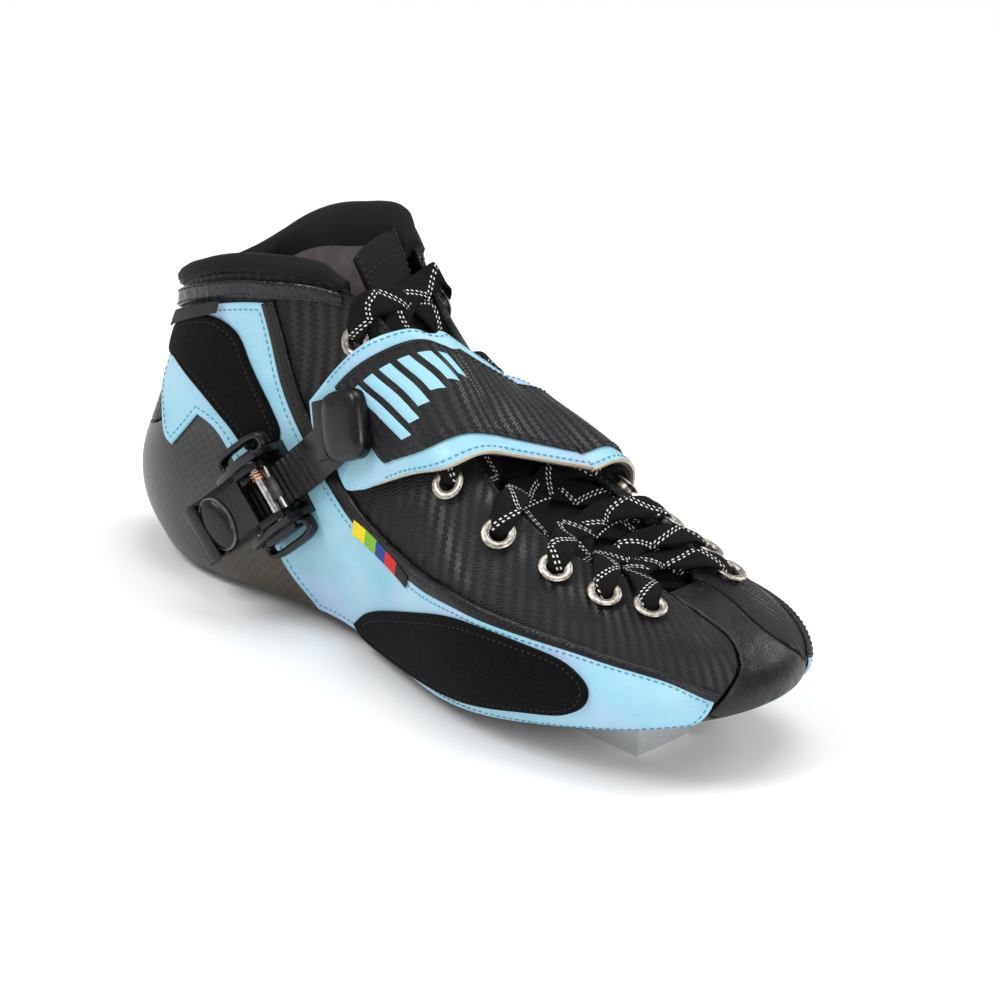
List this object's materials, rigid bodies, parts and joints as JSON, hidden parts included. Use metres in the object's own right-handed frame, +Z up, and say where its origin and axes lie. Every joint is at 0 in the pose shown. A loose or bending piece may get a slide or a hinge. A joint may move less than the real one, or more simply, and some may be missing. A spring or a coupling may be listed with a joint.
{
  "type": "speed skating boot",
  "caption": "Low-cut right speed skating boot with a moulded carbon shell, laced throat, instep strap with ratchet buckle and two frame mounts under the sole.",
  "frame": {"origin": "on the bottom face of the heel frame mount, 10 mm behind its bolt axis, on the boot's long axis", "axes": "+X to the toe, +Y to the medial (inner) side of a right foot, +Z up; both frame mount faces lie in z = 0"},
  "size_m": [0.2843, 0.1073, 0.1466],
  "materials": {
    "carbon": "dark woven carbon laminate, semi-gloss",
    "twill": "black herringbone twill, slight sheen",
    "smooth_leather": "smooth black coated microfibre",
    "blue_leather": "pale blue pebbled synthetic leather with a pearl sheen",
    "felt": "black felt",
    "neoprene": "smooth black neoprene",
    "suede": "grey-brown microsuede",
    "lace": "black woven polyester with white dots",
    "nylon": "semi-gloss black nylon",
    "steel": "nickel-plated steel",
    "aluminium": "bead-blasted aluminium",
    "copper": "coppered spring wire",
    "label": "woven label tape"
  },
  "bodies": {
    "boot": {"carbon_shell": "carbon", "heel_mount_block": "aluminium", "heel_thread_insert": "steel", "front_mount_block": "aluminium", "front_thread_insert": "steel", "quarter_lateral": "twill", "quarter_medial": "twill", "toe_cap": "smooth_leather", "ankle_padding": "felt", "heel_lining": "suede", "footbed": "suede", "collar_facing": "twill", "collar_cuff": "neoprene", "tongue": "neoprene", "tongue_lining": "suede", "side_panel_lateral": "blue_leather", "side_panel_medial": "blue_leather", "ankle_pad_lateral": "felt", "ankle_pad_medial": "felt", "forefoot_pad_lateral": "felt", "forefoot_pad_medial": "felt", "woven_label": "label", "colour_tab": "label", "lace": "lace", "strap_lining": "suede", "strap_trim": "blue_leather", "strap_inlay": "twill", "buckle_base": "nylon", "buckle_rivet_1": "steel", "buckle_rivet_2": "steel", "lever_pin": "steel", "lock_pin": "steel", "lever_spring": "copper", "lock_spring": "copper", "eyelet_lateral_1": "steel", "eyelet_lateral_2": "steel", "eyelet_lateral_3": "steel", "eyelet_lateral_4": "steel", "eyelet_lateral_5": "steel", "eyelet_lateral_6": "steel", "eyelet_lateral_7": "steel", "eyelet_medial_1": "steel", "eyelet_medial_2": "steel", "eyelet_medial_3": "steel", "eyelet_medial_4": "steel", "eyelet_medial_5": "steel", "eyelet_medial_6": "steel", "eyelet_medial_7": "steel"},
    "ladder": {"ladder_strap": "nylon", "strap_end_cap": "nylon"},
    "lever": {"buckle_lever": "nylon", "drive_pin": "steel"},
    "drive_pawl": {"drive_pawl": "nylon"},
    "lock_pawl": {"lock_pawl": "nylon"}
  },
  "joints": [
    {"name": "ladder_slide", "type": "slide", "parent": "boot", "child": "ladder", "axis": [0.7029, 0.1277, 0.6998], "range_m": [-0.012, 0.006], "deforming": ["strap_lining", "strap_trim", "strap_inlay"]},
    {"name": "lever_hinge", "type": "hinge", "parent": "boot", "child": "lever", "pos_m": [0.06803, -0.04354, 0.05374], "axis": [-0.7005, -0.0466, 0.7121], "range_deg": [0, 70], "stiffness_Nm_per_rad": 0.01, "springref_deg": -20.05},
    {"name": "drive_pawl_hinge", "type": "hinge", "parent": "lever", "child": "drive_pawl", "pos_m": [0.06839, -0.03952, 0.05436], "axis": [-0.7005, -0.0466, 0.7121], "range_deg": [-72, 0]},
    {"name": "lock_pawl_hinge", "type": "hinge", "parent": "boot", "child": "lock_pawl", "pos_m": [0.05779, -0.04216, 0.04376], "axis": [-0.7005, -0.0466, 0.7121], "range_deg": [0, 10], "stiffness_Nm_per_rad": 0.01, "springref_deg": -20.05}
  ],
  "couplings": [
    {"joint": "drive_pawl_hinge", "follows": "lever_hinge", "ratio": -1}
  ]
}
